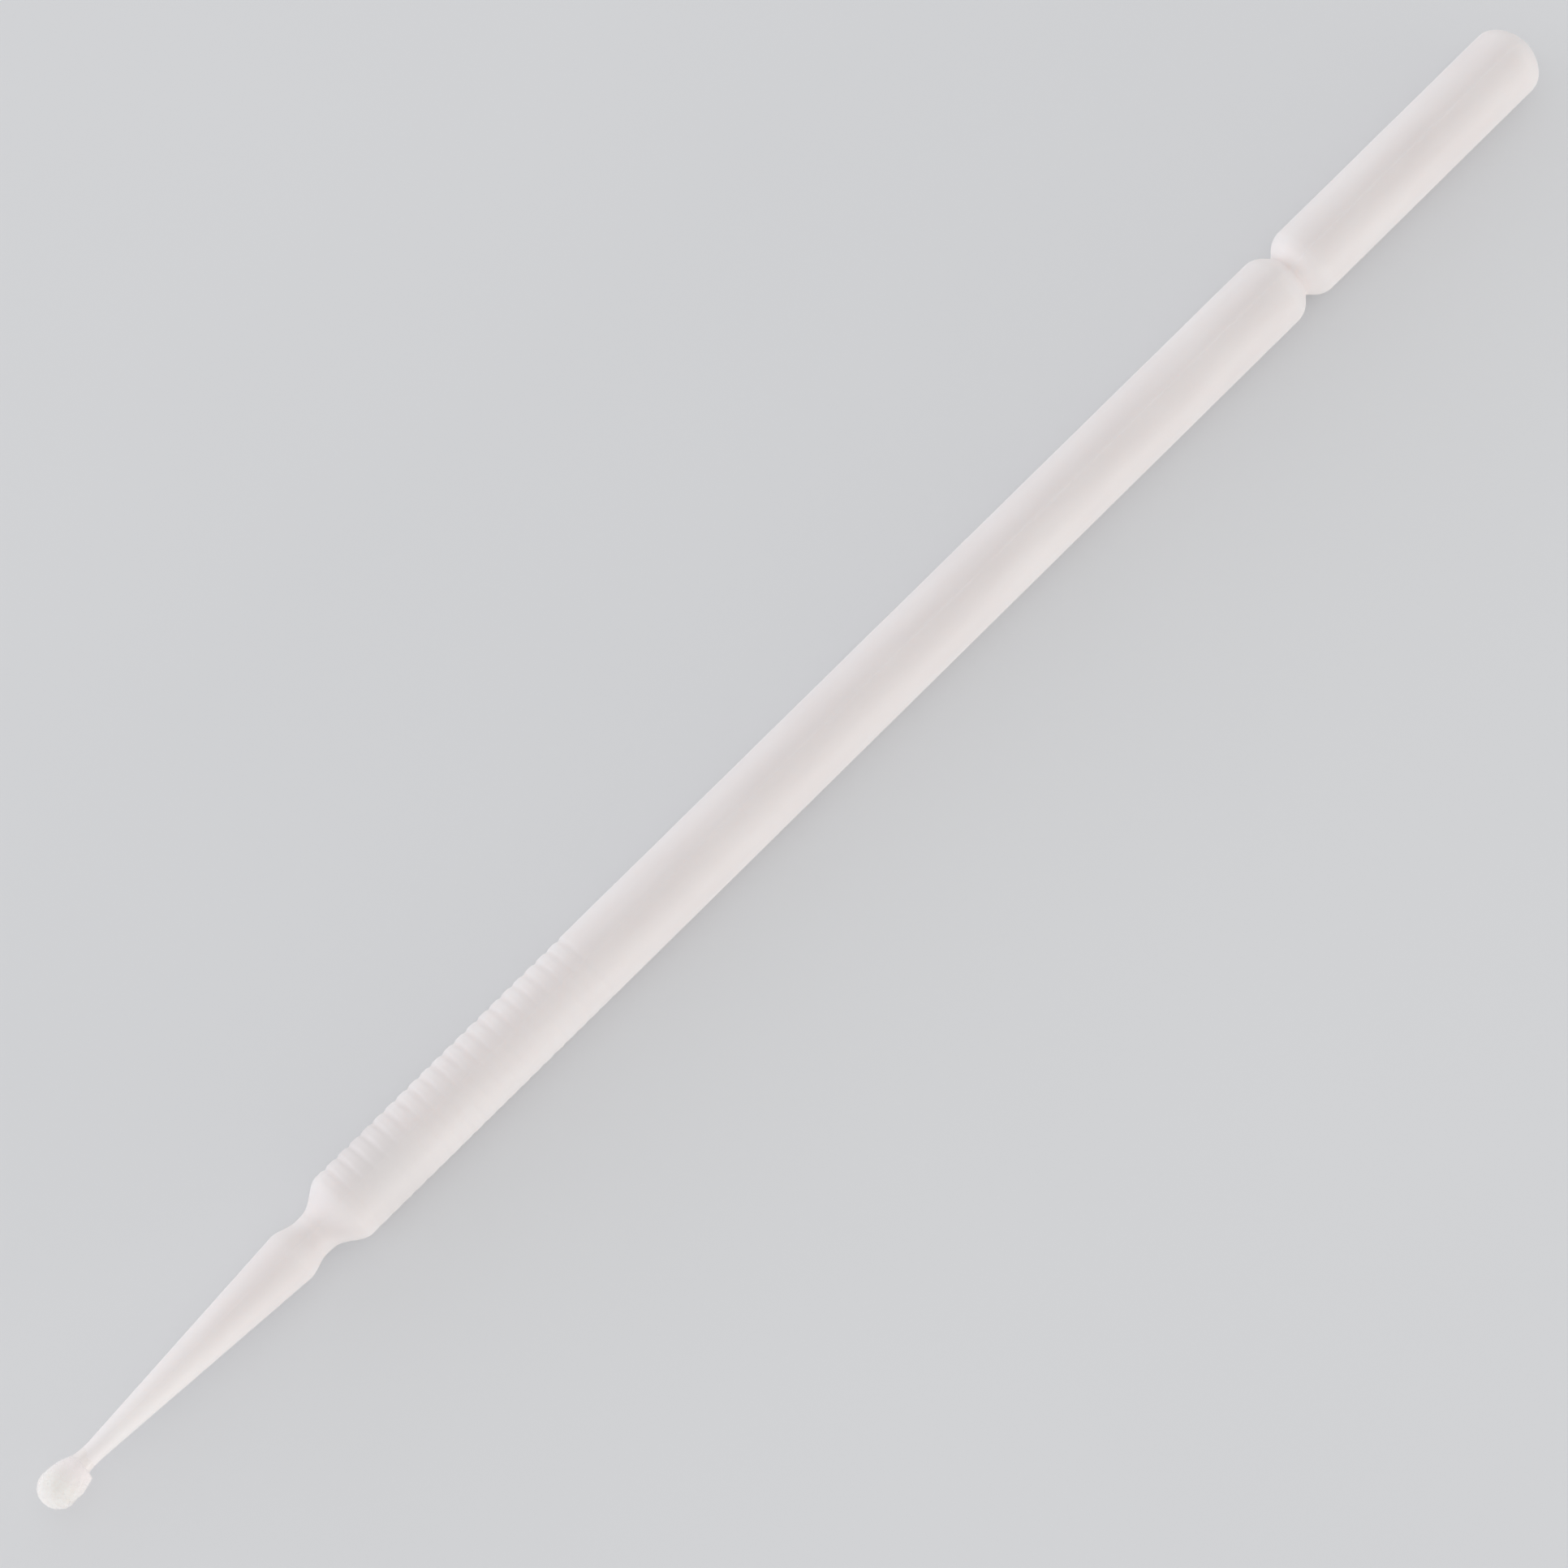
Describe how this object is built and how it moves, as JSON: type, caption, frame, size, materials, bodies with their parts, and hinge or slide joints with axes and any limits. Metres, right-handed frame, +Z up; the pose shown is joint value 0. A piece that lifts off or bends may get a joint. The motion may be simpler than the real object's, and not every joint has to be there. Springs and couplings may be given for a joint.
{
  "type": "micro applicator",
  "caption": "Slim moulded plastic applicator stick with a flocked bulb on a tapered head, a neck that bends, a ribbed grip, a ring groove and a domed tail.",
  "frame": {"origin": "bottom centre of the part's box, on the surface that the stick lies on", "axes": "+X along the stick from the flocked bulb to the tail, +Y across it, +Z up"},
  "size_m": [0.1, 0.0038, 0.0037],
  "materials": {
    "polypropylene": "milky white injection-moulded polypropylene, satin",
    "adhesive": "dried clear adhesive, smooth",
    "flock": "short upright white nylon fibres"
  },
  "bodies": {
    "handle": {"grip_shaft": "polypropylene", "bend_neck": "polypropylene", "groove_web": "polypropylene"},
    "head": {"tapered_head": "polypropylene", "glue_coat": "adhesive", "flock_tip": "flock"},
    "tail": {"tail_end": "polypropylene"}
  },
  "joints": [
    {"name": "neck_bend", "type": "hinge", "parent": "handle", "child": "head", "pos_m": [-0.03272, 0, 0.00186], "axis": [0, 0, 1], "range_deg": [-90, 90], "deforming": ["bend_neck"]},
    {"name": "tail_bend", "type": "hinge", "parent": "handle", "child": "tail", "pos_m": [0.03303, 0, 0.00186], "axis": [0, 0, 1], "range_deg": [-45, 45], "deforming": ["groove_web"]}
  ]
}
